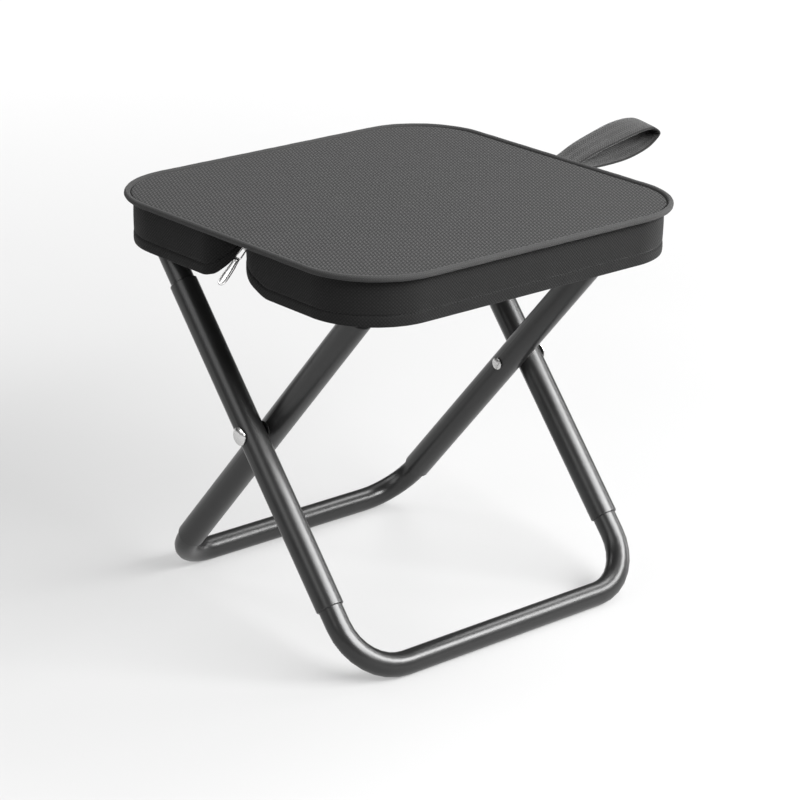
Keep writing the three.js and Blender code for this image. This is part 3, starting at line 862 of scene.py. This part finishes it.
# ------------------------------------------------------------------ strap
def smooth_loop(points, count):
    """A Catmull-Rom curve through the points, at even steps of its own length."""
    knots = np.array(points, float)
    padded = np.concatenate([[2 * knots[0] - knots[1]], knots, [2 * knots[-1] - knots[-2]]])
    fine = []
    for index in range(len(knots) - 1):
        a, b, c, d = padded[index : index + 4]
        t = np.linspace(0, 1, 24, endpoint=False)[:, None]
        square, cube = 2 * a - 5 * b + 4 * c - d, 3 * b - a - 3 * c + d
        fine.append(0.5 * (2 * b + (c - a) * t + square * t**2 + cube * t**3))
    fine = np.concatenate([*fine, knots[-1:]])
    length = np.concatenate([[0], np.cumsum(np.linalg.norm(np.diff(fine, axis=0), axis=1))])
    even = np.linspace(0, length[-1], count)
    return np.stack([np.interp(even, length, fine[:, axis]) for axis in range(2)], 1), length[-1]


def carry_strap():
    """A loop of webbing, twisted a little so that its far edge reaches further out."""
    count, across, edge_roll = 150, 15, 0.35 * MM
    half_width = (strap_high.y - strap_low.y) / 2
    near, near_length = smooth_loop(STRAP_NEAR, count)
    far, far_length = smooth_loop(STRAP_FAR, count)
    length = (near_length + far_length) / 2 * MM
    share = np.linspace(0, 1, across)[:, None, None]
    side = (near * (1 - share) + far * share) * MM
    roll = edge_roll * (2 * share[..., 0] - 1) ** 6
    tangent = np.gradient(side, axis=1)
    inward = np.stack([tangent[..., 1], -tangent[..., 0]], -1)
    inward = inward / np.linalg.norm(tangent, axis=-1, keepdims=True)
    side = side + inward * roll[..., None]
    y = np.broadcast_to((2 * share[..., 0] - 1) * half_width, side.shape[:2])
    points = np.stack([STRAP_ROOT + side[..., 0], y, PIPING_Z + side[..., 1]], -1).reshape(-1, 3)
    uv = grid_uv(np.linspace(0, length, count), y, y.shape)
    piece = new_piece("webbing_strap", points, grid_faces(across, count), "webbing", uv)
    thicken(piece, STRAP_THICKNESS)
    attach(piece, "strap")
    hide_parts("carry_strap")


# ------------------------------------------------------------------ zipper pull
PULL_PIVOT = Vector(next(
    joint["pos_m"] for joint in frame["record"]["behaviour"]["joints"] if joint["name"] == "zip_pull_swing"
))
PULL_HANG = math.radians(44)  # how far the pull hangs out from the plumb line
PULL_START, PULL_END, PULL_ROOT, PULL_WIDTH = 10.6, 35.0, 5.6, 8.6  # the plate, in mm
PULL_RIM = ((0.3, -0.45), (0, -0.2), (0, 0.2), (0.3, 0.55), (0.9, 0.6), (1.3, 0.35))  # mm inset, mm out
EYE_CORNERS = ((9.6, 1.9, 0), (1.2, 1.9, 90), (1.2, -1.9, 180), (9.6, -1.9, 270))  # mm, mm, degrees
EYE_BEND, EYE_RADIUS = 1.2, 0.62  # the bend of the eye's wire and its thickness, in mm


def pull_place(along, across, out):
    """A point of the pull, from its distances in mm along, across and out of its flat plate."""
    down = Vector((-math.sin(PULL_HANG), 0, -math.cos(PULL_HANG)))
    face = Vector((-math.cos(PULL_HANG), 0, math.sin(PULL_HANG)))
    return PULL_PIVOT + MM * (down * along + Vector((0, 1, 0)) * across + face * out)


def tablet_outline(start, end, root, width, count=14):
    """(along, across) points round a plate that widens from its root to a round end, in mm."""
    radius = width / 2
    far = end - radius
    right = [(start, root / 2), (start + 3, root / 2 + 0.3), (start + 8, radius - 0.35), (far - 6, radius)]
    tip = [(far + radius * math.sin(a), radius * math.cos(a)) for a in np.linspace(0, math.pi, count)]
    left = [(along, -across) for along, across in reversed(right)]
    return np.array(right + tip + left)


def zipper_pull():
    """A pressed metal pull: an open eye of wire round the slider's bridge, and a rimmed plate."""
    points = []
    outline = tablet_outline(PULL_START, PULL_END, PULL_ROOT, PULL_WIDTH)
    middle = outline.mean(0)
    size = outline.max(0) - middle
    for inset, out in PULL_RIM:
        ring = middle + (outline - middle) * (1 - inset / size)
        points += [pull_place(along, across, out) for along, across in ring]
    faces = capped_tube_faces(0, len(PULL_RIM), len(outline))

    eye, sides = [], 8
    for centre_along, centre_across, start in EYE_CORNERS:
        for angle in np.radians(np.linspace(start, start + 90, 6)):
            along = centre_along + EYE_BEND * math.cos(angle)
            eye.append((along, centre_across + EYE_BEND * math.sin(angle), angle))
    first = len(points)
    for along, across, angle in eye:
        for side in range(sides):
            turn = 2 * math.pi * side / sides
            reach, out = EYE_RADIUS * math.cos(turn), EYE_RADIUS * math.sin(turn)
            spot_along, spot_across = along + reach * math.cos(angle), across + reach * math.sin(angle)
            points.append(pull_place(spot_along, spot_across, out))
    for ring in range(len(eye)):
        for side in range(sides):
            a = first + ring * sides + side
            b = first + ring * sides + (side + 1) % sides
            after = ((ring + 1) % len(eye) - ring) * sides
            faces.append((a, b, b + after, a + after))
    piece = new_piece("pull_tab", points, faces, "zipper_metal")
    crisp_edges(piece, CRISP_PULL)
    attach(piece, "zip_pull")
    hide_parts("zipper_pull")


# ------------------------------------------------------------------ carried-over CAD nodes
def dress(node, look, bevel=0.0):
    """Gives a CAD node its material, smooth shading on its round faces and, if asked, softened edges."""
    piece = frame["nodes"][node]
    piece.data.materials.clear()
    piece.data.materials.append(LOOKS[look])
    if "custom_normal" in piece.data.attributes:
        piece.data.attributes.remove(piece.data.attributes["custom_normal"])
    piece.data.polygons.foreach_set("use_smooth", [True] * len(piece.data.polygons))
    weld = piece.modifiers.new("weld", "WELD")
    weld.merge_threshold = 0.002 * MM
    if bevel:
        soften = piece.modifiers.new("bevel", "BEVEL")
        soften.width = bevel
        soften.segments = 3
        soften.limit_method = "ANGLE"
        soften.angle_limit = math.radians(35)
    crisp_edges(piece, CRISP_BEVELLED if bevel else CRISP_TUBE)


def dress_frame():
    """Materials for the tubes, the pivots, the boards and the slider."""
    for frame_name in ("outer", "inner"):
        for tube in ("foot_rail", "top_rail", "leg_left", "leg_right"):
            dress(f"{frame_name}_{tube}", "powder_coat")
    for side in ("left", "right"):
        dress(f"pivot_rivet_{side}", "bright_steel")
        dress(f"rivet_cap_{side}", "bright_steel")
        dress(f"pivot_washer_{side}", "nylon")
    for half in ("rear", "front"):
        dress(f"stiffener_board_{half}", "board")
    dress("zipper_slider", "zipper_metal", bevel=0.35 * MM)


# ------------------------------------------------------------------ the stool
make_lights(*make_camera())
make_floor()
for half in ("rear", "front"):
    piping(half)
    seat_cover(half)
    lining(half)
    skirt(half)
    seam_stitches(half)
    zipper_tape(half)
    zipper_coil(half)
rail_sleeve("rear")
rail_sleeve("front")
fold_tape()
carry_strap()
zipper_pull()
dress_frame()
